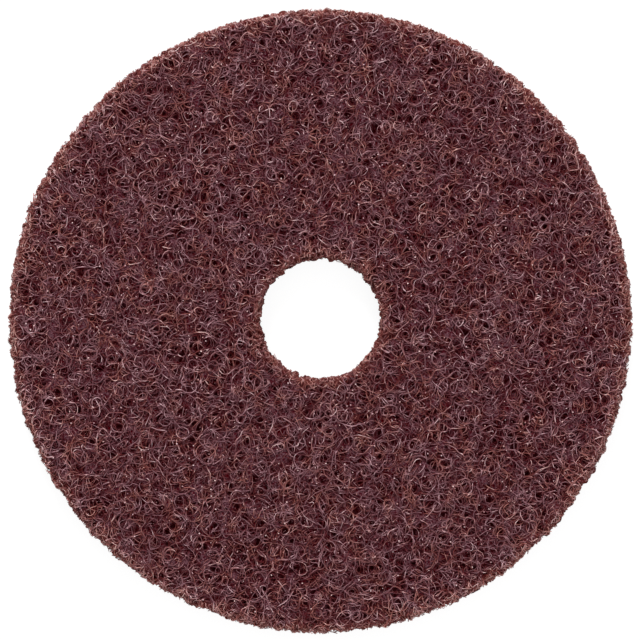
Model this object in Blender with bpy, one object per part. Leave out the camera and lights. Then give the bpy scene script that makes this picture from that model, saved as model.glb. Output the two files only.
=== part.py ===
"""Abrasive fleece disc, 115 mm across with a 22 mm bore, lying on its back face.

The disc is one piece: a web of crimped fibres, bonded with resin and grit, that is
punched out of a 6 mm mat. Its front face is pitted, its back face is flat, and the
punch leaves the rim and the bore ragged. The origin is the middle of the back face,
+Z runs out of the front face, and the bore is punched a little off centre, to +Y.
"""

import math

import bmesh
import bpy
from mathutils import Vector, geometry, noise

# Sizes of the punched disc, in metres
DISC_DIAMETER = 0.115
BORE_DIAMETER = 0.022
THICKNESS = 0.006
BORE_OFFSET = 0.00045
FRONT_EDGE_ROUND = 0.0010

# Relief of the fleece, in metres
CLUMP_SIZE = 0.0060
CLUMP_DEPTH = 0.0005
PIT_SIZE = 0.0040
PIT_DEPTH = 0.0011
TUFT_SIZE = 0.0030
TUFT_HEIGHT = 0.0004

# Spacing of the mesh's points, in metres
FACE_PITCH = 0.00165
WALL_PITCH = 0.0017

# Offsets that set the three patterns apart, in pattern cells
CLUMP_SHIFT = Vector((3.7, 1.3, 8.1))
PIT_SHIFT = Vector((17.2, 9.4, 2.6))
TUFT_SHIFT = Vector((5.1, 23.8, 11.9))

# Share of a pit's cell that its hollow fills, gain that lets the random pattern use its
# whole range, and share of the edge's round where the one ring of points on it lies
PIT_REACH = 0.62
PATTERN_GAIN = 0.75
ROUND_RING = 0.3

FLEECE_COLOUR = (0.098, 0.034, 0.039, 1.0)
FLEECE_ROUGHNESS = 0.85

DISC_RADIUS = DISC_DIAMETER / 2
BORE_RADIUS = BORE_DIAMETER / 2
WALL_HEIGHT = THICKNESS - FRONT_EDGE_ROUND


def clear_scene():
    """Removes every object of the startup scene."""
    for found in list(bpy.data.objects):
        bpy.data.objects.remove(found)


def evenly(start, end, pitch):
    """Values from start to end, both kept, about one pitch apart."""
    count = max(1, round(abs(end - start) / pitch))
    return [start + (end - start) * i / count for i in range(count + 1)]


def ring_of_points(radius, turn):
    """Points about one face pitch apart on a circle, the first turned by a share of a step."""
    count = round(2 * math.pi * radius / FACE_PITCH)
    steps = [2 * math.pi * (i + turn) / count for i in range(count)]
    return [Vector((radius * math.cos(step), radius * math.sin(step))) for step in steps]


def ring_radii():
    """Radii of the face's rings of points, from the bore's cut to the rim's."""
    bore_edge = BORE_RADIUS + FRONT_EDGE_ROUND
    rim_edge = DISC_RADIUS - FRONT_EDGE_ROUND
    inner = [BORE_RADIUS, BORE_RADIUS + ROUND_RING * FRONT_EDGE_ROUND]
    outer = [DISC_RADIUS - ROUND_RING * FRONT_EDGE_ROUND, DISC_RADIUS]
    return inner + evenly(bore_edge, rim_edge, FACE_PITCH * math.sqrt(3) / 2) + outer


def face_height(radius):
    """Height of the smooth front face, which turns down in an arc to each cut."""
    from_cut = max(0.0, min(radius - BORE_RADIUS, DISC_RADIUS - radius))
    short = max(0.0, FRONT_EDGE_ROUND - from_cut)
    return WALL_HEIGHT + math.sqrt(FRONT_EDGE_ROUND**2 - short**2)


def front_face():
    """The smooth front face, as even triangles between rings of points."""
    radii = ring_radii()
    rings = [
        ring_of_points(radius, 0.5 * (number % 2)) for number, radius in enumerate(radii)
    ]
    flat = [point for ring in rings for point in ring]
    points, _, triangles, *_ = geometry.delaunay_2d_cdt(flat, [], [], 0, FACE_PITCH * 1e-3)
    face = bmesh.new()
    corners = [
        face.verts.new((point.x, point.y, face_height(point.length))) for point in points
    ]
    bore_chord = BORE_RADIUS * (1 + 1e-3)
    for triangle in triangles:
        if any(points[i].length > bore_chord for i in triangle):
            face.faces.new([corners[i] for i in triangle])
    return face


def add_walls(disc):
    """Pulls the rim's and the bore's cuts down to the back, in rows."""
    heights = evenly(WALL_HEIGHT, 0, WALL_PITCH)
    edges = [edge for edge in disc.edges if edge.is_boundary]
    for above, below in zip(heights, heights[1:]):
        made = bmesh.ops.extrude_edge_only(disc, edges=edges)["geom"]
        row = [item for item in made if isinstance(item, bmesh.types.BMVert)]
        bmesh.ops.translate(disc, verts=row, vec=(0, 0, below - above))
        edges = [item for item in made if isinstance(item, bmesh.types.BMEdge)]
        edges = [edge for edge in edges if edge.is_boundary]
    return edges


def smooth_disc():
    """The closed disc with a smooth face and smooth cuts."""
    disc = front_face()
    back_edges = add_walls(disc)
    bmesh.ops.triangle_fill(disc, edges=back_edges, use_beauty=True)
    bmesh.ops.recalc_face_normals(disc, faces=disc.faces)
    disc.normal_update()
    return disc


def pattern(place, size, shift):
    """A smooth random value from 0 to 1 that changes over about one size."""
    value = 0.5 + PATTERN_GAIN * noise.noise(place / size + shift)
    return min(1.0, max(0.0, value))


def pit(place):
    """Share of a pit's full depth: 1 in the middle of a pocket of the web, 0 on its threads."""
    nearest, _ = noise.voronoi(place / PIT_SIZE + PIT_SHIFT)
    return max(0.0, 1 - (nearest[0] / PIT_REACH) ** 2)


def relief(place, facing):
    """How far the fleece stands proud of the smooth disc at a point, along its normal.

    The front face only sinks, so its highest clumps are at the full thickness. On the
    cut walls, where facing has no height, tufts stand out as far as others lie back.
    """
    clump = CLUMP_DEPTH * pattern(place, CLUMP_SIZE, CLUMP_SHIFT)
    hollow = PIT_DEPTH * pit(place)
    tuft = TUFT_HEIGHT * (2 * pattern(place, TUFT_SIZE, TUFT_SHIFT) - 1)
    upright = max(0.0, facing.z)
    return (1 - upright) * tuft - upright * (clump + hollow)


def roughen(disc):
    """Moves each point by the fleece's relief. The back face stays flat and at Z 0."""
    moves = []
    for point in disc.verts:
        facing = Vector(point.normal)
        if point.co.z < THICKNESS * 1e-3:
            facing.z = 0
            facing.normalize()
        moves.append(facing * relief(point.co, facing))
    for point, move in zip(disc.verts, moves):
        point.co += move


def shift_bore(disc):
    """Slides the bore off centre, and the rest less and less towards the rim."""
    for point in disc.verts:
        share = (DISC_RADIUS - point.co.xy.length) / (DISC_RADIUS - BORE_RADIUS)
        point.co.y += BORE_OFFSET * min(1.0, max(0.0, share))


def fleece_material():
    """Dull maroon resin over fibre."""
    material = bpy.data.materials.new("maroon_fleece")
    material.use_nodes = True
    surface = material.node_tree.nodes["Principled BSDF"]
    surface.inputs["Base Color"].default_value = FLEECE_COLOUR
    surface.inputs["Roughness"].default_value = FLEECE_ROUGHNESS
    surface.inputs["Metallic"].default_value = 0.0
    return material


def make_disc():
    """The whole disc, as one object named fleece_disc."""
    solid = smooth_disc()
    roughen(solid)
    shift_bore(solid)
    mesh = bpy.data.meshes.new("fleece_disc")
    solid.to_mesh(mesh)
    solid.free()
    mesh.materials.append(fleece_material())
    mesh.shade_smooth()
    disc = bpy.data.objects.new("fleece_disc", mesh)
    bpy.context.scene.collection.objects.link(disc)
    return disc


clear_scene()
make_disc()
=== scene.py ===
"""Finish of an abrasive fleece disc: a punched mat of curled, resin-coated fibres.

The disc lies on its flat back, and the camera looks straight down on its front face.
A dark mat fills the disc's middle. Curled fibres lie over it in layers, bend round the
open pockets of the web and end at the punched rim and bore. All sizes are in metres.
"""

import logging
import math
from dataclasses import dataclass, field
from enum import Enum
from functools import cached_property
from typing import Callable

import bpy
import numpy as np
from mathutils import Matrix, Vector


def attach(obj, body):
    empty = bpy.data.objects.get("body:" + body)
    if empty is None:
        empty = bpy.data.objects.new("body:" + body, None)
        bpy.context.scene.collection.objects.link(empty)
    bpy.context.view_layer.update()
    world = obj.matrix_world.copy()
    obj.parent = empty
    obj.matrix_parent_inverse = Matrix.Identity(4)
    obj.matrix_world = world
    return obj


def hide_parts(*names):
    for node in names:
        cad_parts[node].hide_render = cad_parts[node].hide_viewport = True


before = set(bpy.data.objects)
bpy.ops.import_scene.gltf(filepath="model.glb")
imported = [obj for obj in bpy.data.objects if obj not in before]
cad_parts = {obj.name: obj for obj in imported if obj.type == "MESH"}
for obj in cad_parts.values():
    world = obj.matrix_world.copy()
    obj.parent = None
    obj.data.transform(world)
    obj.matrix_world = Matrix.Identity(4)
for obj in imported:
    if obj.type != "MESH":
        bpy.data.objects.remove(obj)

LOG = logging.getLogger("fleece_disc")

Range = tuple[float, float]
Spot = tuple[float, float]
Colour = tuple[float, float, float]
Stops = tuple[tuple[float, Colour], ...]

NODE = "fleece_disc"
BODY = "root"
BAKE_MAP = "OFBake"

MM = 0.001

# Distances within which doubled points of the mat and of the fibres are merged
MAT_MERGE = 0.001 * MM
FIBRE_MERGE = 0.0001 * MM

# Least share and least length that anything is divided by, and the share of a map's cell
# that keeps a reading inside the last one
LEAST_SHARE = 1e-6
LEAST_LENGTH = 1e-9
LAST_CELL = 1e-3

# Steps, as shares of a field's length and width, that spread any number of spots evenly
EVEN_STEPS = (0.7548776662, 0.5698402910)

# Spot that a fibre's face takes on the palette, and the margin it keeps from the palette's edge
SPOT_ACROSS = 0.003
SPOT_ALONG = 0.004
PALETTE_MARGIN = 0.01

# Layers of fibres on the front face, lowest first: name, amount, least and greatest depth
# in mm, share of each pocket's radius that stays clear, and seed
FRONT_LAYERS = (
    ("low_web", 4.2, 0.45, 1.10, 0.80, 41),
    ("low_curls", 2.6, 0.30, 0.90, 0.75, 42),
    ("middle_web", 2.25, 0.20, 0.70, 0.65, 43),
    ("middle_curls", 2.1, 0.14, 0.55, 0.62, 44),
    ("high_web", 2.05, 0.08, 0.42, 0.56, 45),
    ("high_curls", 2.05, 0.06, 0.32, 0.52, 46),
)


class Side(Enum):
    """The faces of the disc that fibres lie on."""

    FRONT = "front"
    BACK = "back"
    RIM = "rim"
    BORE = "bore"


def smoothstep(low: float, high: float, value: np.ndarray) -> np.ndarray:
    """Eases from 0 at low to 1 at high.

    Args:
        low: Value at and below which the result is 0.
        high: Value at and above which the result is 1.
        value: Values to ease.

    Returns:
        The eased values.
    """
    share = np.clip((value - low) / (high - low), 0.0, 1.0)
    return share * share * (3 - 2 * share)


def placed(name: str, data: bpy.types.ID) -> bpy.types.Object:
    """Adds an object with this name and data to the scene, and returns it."""
    made = bpy.data.objects.new(name, data)
    bpy.context.scene.collection.objects.link(made)
    return made


def pick(piece: bpy.types.Object) -> None:
    """Selects this object alone, for the operators to act on."""
    bpy.ops.object.select_all(action="DESELECT")
    piece.select_set(True)
    bpy.context.view_layer.objects.active = piece


def new_material(
    name: str, roughness: float, specular: float
) -> tuple[bpy.types.Material, bpy.types.NodeTree, bpy.types.ShaderNode]:
    """Makes a material of one surface node.

    Args:
        name: Its name.
        roughness: Roughness of the surface.
        specular: Strength of its gloss.

    Returns:
        The material, its tree and its surface node.
    """
    material = bpy.data.materials.new(name)
    material.use_nodes = True
    surface = material.node_tree.nodes["Principled BSDF"]
    surface.inputs["Roughness"].default_value = roughness
    surface.inputs["Specular IOR Level"].default_value = specular
    return material, material.node_tree, surface


def worked(
    tree: bpy.types.NodeTree,
    operation: str,
    *values: bpy.types.NodeSocket | float,
    clamp: bool = False,
) -> bpy.types.NodeSocket:
    """Adds one step of arithmetic.

    Args:
        tree: Where the node goes.
        operation: What it does.
        values: What it does it to, each a socket or a number.
        clamp: Whether the result stays from 0 to 1.

    Returns:
        The result.
    """
    node = tree.nodes.new("ShaderNodeMath")
    node.operation = operation
    node.use_clamp = clamp
    for given, value in zip(node.inputs, values):
        if isinstance(value, float):
            given.default_value = value
        else:
            tree.links.new(value, given)
    return node.outputs["Value"]


def mixed(
    tree: bpy.types.NodeTree,
    share: bpy.types.NodeSocket,
    first: bpy.types.NodeSocket | Colour,
    second: bpy.types.NodeSocket | Colour,
) -> bpy.types.NodeSocket:
    """Mixes two colours, each given as a socket or as three numbers.

    Args:
        tree: Where the node goes.
        share: 0 for the first colour and 1 for the second.
        first: The first colour.
        second: The second colour.

    Returns:
        The mixed colour.
    """
    mix = tree.nodes.new("ShaderNodeMix")
    mix.data_type = "RGBA"
    tree.links.new(share, mix.inputs["Factor"])
    sides = [i for i in mix.inputs if i.type == "RGBA"]
    for side, colour in zip(sides, (first, second)):
        if isinstance(colour, tuple):
            side.default_value = (*colour, 1.0)
        else:
            tree.links.new(colour, side)
    return next(o for o in mix.outputs if o.type == "RGBA")


def wear(piece: bpy.types.Object, finish: bpy.types.Material) -> bpy.types.Object:
    """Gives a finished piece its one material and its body.

    Args:
        piece: Mesh object with its place in its mesh.
        finish: Material that it wears.

    Returns:
        The same piece.
    """
    piece.data.materials.clear()
    piece.data.materials.append(finish)
    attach(piece, BODY)
    piece.data.calc_loop_triangles()
    LOG.info("%s: %d triangles", piece.name, len(piece.data.loop_triangles))
    return piece


@dataclass(frozen=True)
class WaveField:
    """A smooth random pattern in space, made of plane waves that run all ways.

    Attributes:
        size: Distance over which the pattern changes.
        seed: Picks the pattern.
        waves: Number of waves.
        shortest: Half of the shortest wave, as a share of the size.
        longest: Half of the longest.
    """

    size: float
    seed: int
    waves: int = 40
    shortest: float = 0.7
    longest: float = 1.6

    def at(self, points: np.ndarray) -> np.ndarray:
        """Reads the pattern.

        Args:
            points: Places, as rows of three numbers.

        Returns:
            A value for each place, with mean 0 and spread 1.
        """
        rng = np.random.default_rng(self.seed)
        ways = rng.normal(size=(self.waves, 3))
        ways /= np.linalg.norm(ways, axis=1)[:, None]
        lengths = 2 * self.size * rng.uniform(self.shortest, self.longest, self.waves)
        phases = rng.uniform(0, 2 * math.pi, self.waves)
        turns = points @ (ways * (2 * math.pi / lengths)[:, None]).T + phases
        return np.cos(turns).sum(1) * math.sqrt(2 / self.waves)

    def on_plane(self, x: np.ndarray, y: np.ndarray) -> np.ndarray:
        """Reads the pattern on the plane of the disc's back, and keeps the arrays' shape."""
        flat = np.stack([x, y, np.zeros_like(x)], -1).reshape(-1, 3)
        return self.at(flat).reshape(x.shape)


@dataclass(frozen=True)
class FaceMap:
    """A pattern over the disc's face, worked out once on a fine grid and read between.

    Attributes:
        half: Half the grid's width.
        pitch: Distance between its points.
        values: The pattern at its points.
    """

    half: float
    pitch: float
    values: np.ndarray

    @classmethod
    def of(
        cls, pattern: Callable[[np.ndarray, np.ndarray], np.ndarray], half: float, pitch: float
    ) -> "FaceMap":
        """Works a pattern out.

        Args:
            pattern: Gives a value for each pair of coordinates.
            half: Half the grid's width.
            pitch: Distance between its points.

        Returns:
            The map.
        """
        line = np.arange(-half, half + pitch, pitch)
        x, y = np.meshgrid(line, line, indexing="ij")
        return cls(half, pitch, pattern(x, y))

    def at(self, x: np.ndarray, y: np.ndarray) -> np.ndarray:
        """Reads the map between its points.

        Args:
            x: First coordinates.
            y: Second coordinates.

        Returns:
            A value for each place.
        """
        last = len(self.values) - 1 - LAST_CELL
        across = np.clip((x + self.half) / self.pitch, 0, last)
        up = np.clip((y + self.half) / self.pitch, 0, last)
        i, j = across.astype(int), up.astype(int)
        u, v = across - i, up - j
        low = self.values[i, j] * (1 - v) + self.values[i, j + 1] * v
        high = self.values[i + 1, j] * (1 - v) + self.values[i + 1, j + 1] * v
        return low * (1 - u) + high * u


@dataclass(frozen=True)
class DiscForm:
    """Sizes of the punched disc, and the lie of the fleece on its front face.

    Attributes:
        outer_radius: Radius of the rim.
        bore_radius: Radius of the bore.
        bore_offset: How far the bore is punched off centre, to +Y.
        thickness: Height of the highest clumps.
        edge_round: Radius of the front edges.
        clump_depth: How far the front face sinks between its clumps.
        clumps: Pattern of the clumps.
        patches: Pattern of the places where resin closes the web.
        nicks: Fine pattern of the ragged cuts.
        nick_depth: How far it moves them.
        waves: Broad pattern of the ragged cuts.
        wave_depth: How far it moves them.
        most_ragged: Limit on both of these patterns.
        hues: Pattern of the places where the resin is redder.
        most_hue: Limit on that pattern.
        patch_edge: Values of the patches' pattern between which a patch sets in.
        clump_edge: Values of the clumps' pattern between which the face sinks.
    """

    outer_radius: float = 57.22 * MM
    bore_radius: float = 11.47 * MM
    bore_offset: float = 0.45 * MM
    thickness: float = 6.0 * MM
    edge_round: float = 1.0 * MM
    clump_depth: float = 0.20 * MM
    clumps: WaveField = WaveField(size=3.2 * MM, seed=11)
    patches: WaveField = WaveField(size=1.9 * MM, seed=12)
    nicks: WaveField = WaveField(size=0.75 * MM, seed=13)
    nick_depth: float = 0.32 * MM
    waves: WaveField = WaveField(size=2.0 * MM, seed=14)
    wave_depth: float = 0.17 * MM
    most_ragged: float = 1.8
    hues: WaveField = WaveField(size=1.7 * MM, seed=15)
    most_hue: float = 2.0
    patch_edge: Range = (0.45, 1.5)
    clump_edge: Range = (-1.6, 1.6)

    def cut(self, side: Side) -> tuple[float, float, float]:
        """Gives the sizes of one of the two cuts.

        Args:
            side: The rim or the bore.

        Returns:
            Its radius, how far its middle lies to +Y, and 1 if it faces outwards or -1 if
            it faces inwards.
        """
        if side is Side.RIM:
            return self.outer_radius, 0.0, 1.0
        return self.bore_radius, self.bore_offset, -1.0

    def ragged(self, x: np.ndarray, y: np.ndarray, z: np.ndarray) -> np.ndarray:
        """How far the fleece stands out of a smooth cut at each place."""
        places = np.stack([x, y, z], -1)
        most = self.most_ragged
        nick = self.nick_depth * np.clip(self.nicks.at(places), -most, most)
        return nick + self.wave_depth * np.clip(self.waves.at(places), -most, most)

    def back_at(self, height: np.ndarray) -> np.ndarray:
        """How far the rounded front edge lies behind the cut at each height."""
        over = np.clip(height - (self.thickness - self.edge_round), 0, self.edge_round)
        return self.edge_round - np.sqrt(self.edge_round**2 - over**2)

    def inside(self, x: np.ndarray, y: np.ndarray) -> np.ndarray:
        """Distance of each place from the nearer cut, negative outside the disc."""
        rim = self.outer_radius - np.hypot(x, y)
        bore = np.hypot(x, y - self.bore_offset) - self.bore_radius
        return np.minimum(rim, bore)

    def rounding(self, x: np.ndarray, y: np.ndarray) -> np.ndarray:
        """How far the rounded front edges lie below the face at each place."""
        short = np.clip(self.edge_round - self.inside(x, y), 0.0, self.edge_round)
        return self.edge_round - np.sqrt(self.edge_round**2 - short**2)

    def patch(self, x: np.ndarray, y: np.ndarray) -> np.ndarray:
        """Share, from 0 to 1, to which resin closes the web at each place."""
        return smoothstep(*self.patch_edge, self.patches.on_plane(x, y))

    def hue(self, x: np.ndarray, y: np.ndarray) -> np.ndarray:
        """How much redder the resin is at each place, about 0."""
        return np.clip(self.hues.on_plane(x, y), -self.most_hue, self.most_hue)

    def front(self, x: np.ndarray, y: np.ndarray) -> np.ndarray:
        """Height of the fleece's upper side at each place."""
        low = smoothstep(*self.clump_edge, self.clumps.on_plane(x, y))
        return self.thickness - self.rounding(x, y) - self.clump_depth * low


@dataclass(frozen=True)
class Pockets:
    """The open pockets between the fibres, as one hollow in each cell of a jittered grid.

    Attributes:
        form: The disc that they lie in.
        pitch: Width of a cell.
        jitter: Share of a cell by which a pocket may lie off the cell's middle.
        narrow: Radius of the narrowest pocket.
        wide: Radius of the widest.
        rarity: Power that makes the wide ones rare.
        closing: Share of a pocket's radius that a patch of resin closes.
        slope: Radii from a pocket's middle between which its depth runs out.
        reach: Radii from a pocket's middle within which fibres are bent aside.
        uneven: Patterns that pull the hollows out of round, one for each direction.
        pull: How far they pull.
        seed: Picks the places and radii.
    """

    form: DiscForm
    pitch: float = 1.5 * MM
    jitter: float = 0.48
    narrow: float = 0.16 * MM
    wide: float = 0.86 * MM
    rarity: float = 1.5
    closing: float = 0.6
    slope: Range = (0.3, 1.2)
    reach: float = 2.0
    uneven: tuple[WaveField, WaveField] = (
        WaveField(size=0.6 * MM, seed=22),
        WaveField(size=0.6 * MM, seed=23),
    )
    pull: float = 0.30 * MM
    seed: int = 21

    @cached_property
    def cells(self) -> tuple[int, np.ndarray, np.ndarray]:
        """Cells either side of the middle, and each pocket's place and radius."""
        half = math.ceil(self.form.outer_radius / self.pitch) + 2
        rng = np.random.default_rng(self.seed)
        count = 2 * half + 1
        grid = np.stack(np.meshgrid(*[np.arange(-half, half + 1)] * 2, indexing="ij"), -1)
        off = rng.uniform(-self.jitter, self.jitter, (count, count, 2))
        places = (grid + off) * self.pitch
        shares = rng.uniform(0, 1, (count, count)) ** self.rarity
        radii = self.narrow + (self.wide - self.narrow) * shares
        closed = self.form.patch(places[..., 0], places[..., 1])
        return half, places, radii * (1 - self.closing * closed)

    def nearest(self, x: np.ndarray, y: np.ndarray) -> tuple[np.ndarray, np.ndarray, np.ndarray]:
        """Finds the pocket that each place lies nearest to, in that pocket's radii.

        Args:
            x: First coordinates.
            y: Second coordinates.

        Returns:
            The two coordinates from the pocket's middle, and the pocket's radius.
        """
        half, places, radii = self.cells
        i = np.clip(np.rint(x / self.pitch).astype(int) + half, 1, 2 * half - 1)
        j = np.clip(np.rint(y / self.pitch).astype(int) + half, 1, 2 * half - 1)
        best = np.full(x.shape, np.inf)
        dx, dy, radius = (np.zeros(x.shape) for _ in range(3))
        for di in (-1, 0, 1):
            for dj in (-1, 0, 1):
                to_x = x - places[i + di, j + dj, 0]
                to_y = y - places[i + di, j + dj, 1]
                size = radii[i + di, j + dj]
                far = np.hypot(to_x, to_y) / size
                nearer = far < best
                best = np.where(nearer, far, best)
                dx = np.where(nearer, to_x, dx)
                dy = np.where(nearer, to_y, dy)
                radius = np.where(nearer, size, radius)
        return dx, dy, radius

    def openness(self, x: np.ndarray, y: np.ndarray) -> np.ndarray:
        """Share of a pocket's depth at each place: 1 in its middle and 0 outside it."""
        pulls = [self.pull * pattern.on_plane(x, y) for pattern in self.uneven]
        dx, dy, radius = self.nearest(x + pulls[0], y + pulls[1])
        return 1 - smoothstep(*self.slope, np.hypot(dx, dy) / radius)

    def bent_aside(
        self, x: np.ndarray, y: np.ndarray, hold: float
    ) -> tuple[np.ndarray, np.ndarray]:
        """Moves places out of the pockets, so that the fibres there run round them.

        Args:
            x: First coordinates.
            y: Second coordinates.
            hold: Share of each pocket's radius that stays clear.

        Returns:
            The two moved coordinates.
        """
        dx, dy, radius = self.nearest(x, y)
        far = np.maximum(np.hypot(dx, dy) / radius, LEAST_SHARE)
        moved = hold + far * (1 - hold / self.reach)
        stretch = np.where(far < self.reach, moved / far - 1, 0.0)
        return x + dx * stretch, y + dy * stretch


@dataclass(frozen=True)
class FibreFinish:
    """Resin-coated nylon fibre, coloured by its place on the palette of its UV map.

    The map's first coordinate runs from dark, where painted shade darkens the deeper fibres, to
    pale, for wear and for painted glints, and the second from mauve to rust. Every fibre and grain
    has its own spot on it.

    Attributes:
        mauve: Places and colours along the palette's mauve side.
        rust: Places and colours along its rust side.
        roughness: Roughness of the resin.
        specular: Strength of its gloss.
    """

    mauve: Stops = (
        (0.00, (0.0680, 0.0004, 0.0026)),
        (0.35, (0.1420, 0.0226, 0.0325)),
        (0.60, (0.2020, 0.0760, 0.0930)),
        (0.82, (0.3580, 0.1740, 0.2030)),
        (0.93, (0.5800, 0.3250, 0.3620)),
        (1.00, (0.9800, 0.7100, 0.7300)),
    )
    rust: Stops = (
        (0.00, (0.0700, 0.0004, 0.0014)),
        (0.35, (0.1540, 0.0211, 0.0200)),
        (0.60, (0.2620, 0.0740, 0.0640)),
        (0.82, (0.4450, 0.1720, 0.1500)),
        (0.93, (0.6700, 0.3350, 0.2950)),
        (1.00, (0.9800, 0.6900, 0.6500)),
    )
    roughness: float = 0.55
    specular: float = 0.05

    def ramp(
        self, tree: bpy.types.NodeTree, place: bpy.types.NodeSocket, stops: Stops
    ) -> bpy.types.NodeSocket:
        """Adds a colour ramp.

        Args:
            tree: Where the node goes.
            place: Place on the ramp, from 0 to 1.
            stops: Its places and colours.

        Returns:
            The colour at the place.
        """
        node = tree.nodes.new("ShaderNodeValToRGB")
        elements = node.color_ramp.elements
        while len(elements) < len(stops):
            elements.new(0.5)
        for element, (spot, colour) in zip(elements, stops):
            element.position = spot
            element.color = (*colour, 1.0)
        tree.links.new(place, node.inputs["Fac"])
        return node.outputs["Color"]

    def material(self) -> bpy.types.Material:
        """Builds the material that all the fibres and grains share."""
        material, tree, surface = new_material("coated_fibre", self.roughness, self.specular)
        palette = tree.nodes.new("ShaderNodeUVMap")
        palette.uv_map = BAKE_MAP
        axes = tree.nodes.new("ShaderNodeSeparateXYZ")
        tree.links.new(palette.outputs["UV"], axes.inputs["Vector"])
        sides = [self.ramp(tree, axes.outputs["X"], stops) for stops in (self.mauve, self.rust)]
        colour = mixed(tree, axes.outputs["Y"], *sides)
        tree.links.new(colour, surface.inputs["Base Color"])
        return material


@dataclass(frozen=True)
class MatFinish:
    """The buried web: lines of fibre over dark gaps, closed in places by grey-mauve resin.

    Attributes:
        gap_and_pocket_shade: Colour of the gaps, a dark maroon whose darkness is painted shade, and
            of the painted shade on the pockets' floors.
        lines: The sets of lines, lowest first, the lower ones darker as painted shade: size of the
            curls, and colour.
        resin: Colour of the resin where it closes the web.
        grit: Colour of the darker grain in it.
        rust: Tint of the cuts.
        roughness: Roughness of it all.
        flecks: Share to which its grain stands out on the web where it is open.
        levels: Distance between a set's lines, as a share of their pattern's range.
        width: Share of that distance that a line fills.
        grit_size: Size of the grain.
        grit_edge: Values of its noise between which a grain sets in.
        detail: Finer steps that each noise has.
        shift: How far apart the sets of lines read their noise.
        bump_height: Height of the lines over the gaps.
    """

    gap_and_pocket_shade: Colour = (0.066, 0.0003, 0.0023)
    lines: Stops = (
        # Lower sets are darker: painted shade deeper in the web
        (1.5 * MM, (0.082, 0.0054, 0.0108)),
        (2.2 * MM, (0.096, 0.0190, 0.0265)),
        (1.8 * MM, (0.142, 0.0450, 0.0560)),
    )
    resin: Colour = (0.170, 0.070, 0.088)
    grit: Colour = (0.074, 0.0080, 0.0145)
    rust: Colour = (0.285, 0.068, 0.054)
    roughness: float = 0.9
    flecks: float = 0.22
    levels: float = 0.16
    width: float = 0.42
    grit_size: float = 0.36 * MM
    grit_edge: Range = (0.42, 0.58)
    detail: float = 1.0
    shift: float = 0.1
    bump_height: float = 0.12 * MM

    def material(self) -> bpy.types.Material:
        """Builds the mat's material."""
        material, tree, surface = new_material("resin_mat", self.roughness, 0.0)
        place = tree.nodes.new("ShaderNodeTexCoord").outputs["Object"]
        web, height = self.web(tree, place)
        grain = self.grain(tree, place)
        resin = mixed(tree, grain, self.grit, self.resin)
        patch = self.attribute(tree, "patch")
        fleck = worked(tree, "MULTIPLY_ADD", grain, self.flecks, patch, clamp=True)
        closed = mixed(tree, fleck, web, resin)
        tinted = mixed(tree, self.attribute(tree, "rusty"), closed, self.rust)
        # Painted shade: the depth mark darkens the open pockets' floors to the gaps' colour
        colour = mixed(tree, self.attribute(tree, "depth"), tinted, self.gap_and_pocket_shade)
        tree.links.new(colour, surface.inputs["Base Color"])
        bump = tree.nodes.new("ShaderNodeBump")
        bump.inputs["Distance"].default_value = self.bump_height
        tree.links.new(worked(tree, "ADD", height, grain), bump.inputs["Height"])
        tree.links.new(bump.outputs["Normal"], surface.inputs["Normal"])
        return material

    def noise(
        self, tree: bpy.types.NodeTree, place: bpy.types.NodeSocket, size: float, shift: float
    ) -> bpy.types.NodeSocket:
        """Adds a smooth random pattern.

        Args:
            tree: Where the nodes go.
            place: Where it is read.
            size: Its size.
            shift: How far it is moved, so that no two are alike.

        Returns:
            Its value, from 0 to 1 and mostly near a half.
        """
        moved = tree.nodes.new("ShaderNodeVectorMath")
        moved.operation = "ADD"
        moved.inputs[1].default_value = (shift, -shift, 0.5 * shift)
        tree.links.new(place, moved.inputs[0])
        noise = tree.nodes.new("ShaderNodeTexNoise")
        noise.inputs["Scale"].default_value = 1 / size
        noise.inputs["Detail"].default_value = self.detail
        tree.links.new(moved.outputs["Vector"], noise.inputs["Vector"])
        return noise.outputs["Fac"]

    def scaled(
        self, tree: bpy.types.NodeTree, value: bpy.types.NodeSocket, low: float, high: float
    ) -> bpy.types.NodeSocket:
        """Adds an even rise from 0 at low to 1 at high, and returns its value."""
        rise = tree.nodes.new("ShaderNodeMapRange")
        rise.inputs["From Min"].default_value = low
        rise.inputs["From Max"].default_value = high
        tree.links.new(value, rise.inputs["Value"])
        return rise.outputs["Result"]

    def grain(self, tree: bpy.types.NodeTree, place: bpy.types.NodeSocket) -> bpy.types.NodeSocket:
        """Adds the fine grain of resin and abrasive, from 0 to 1."""
        return self.scaled(tree, self.noise(tree, place, self.grit_size, 0.0), *self.grit_edge)

    def web(
        self, tree: bpy.types.NodeTree, place: bpy.types.NodeSocket
    ) -> tuple[bpy.types.NodeSocket, bpy.types.NodeSocket]:
        """Adds the sets of curled lines, each over the one before.

        Args:
            tree: Where the nodes go.
            place: Where they are read.

        Returns:
            The web's colour, and its height from 0 to 1.
        """
        colour, height = self.gap_and_pocket_shade, None
        for number, (size, shade) in enumerate(self.lines):
            pattern = self.noise(tree, place, size, self.shift * (number + 1))
            fold = worked(tree, "PINGPONG", pattern, self.levels / 2)
            low = self.levels / 2 * (1 - self.width)
            line = self.scaled(tree, fold, low, low + self.levels / 8)
            colour = mixed(tree, line, colour, shade)
            height = line if height is None else worked(tree, "MAXIMUM", height, line)
        return colour, height

    def attribute(self, tree: bpy.types.NodeTree, name: str) -> bpy.types.NodeSocket:
        """Adds a reader of one of the mat's attributes, and returns its value."""
        node = tree.nodes.new("ShaderNodeAttribute")
        node.attribute_name = name
        return node.outputs["Fac"]


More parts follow.
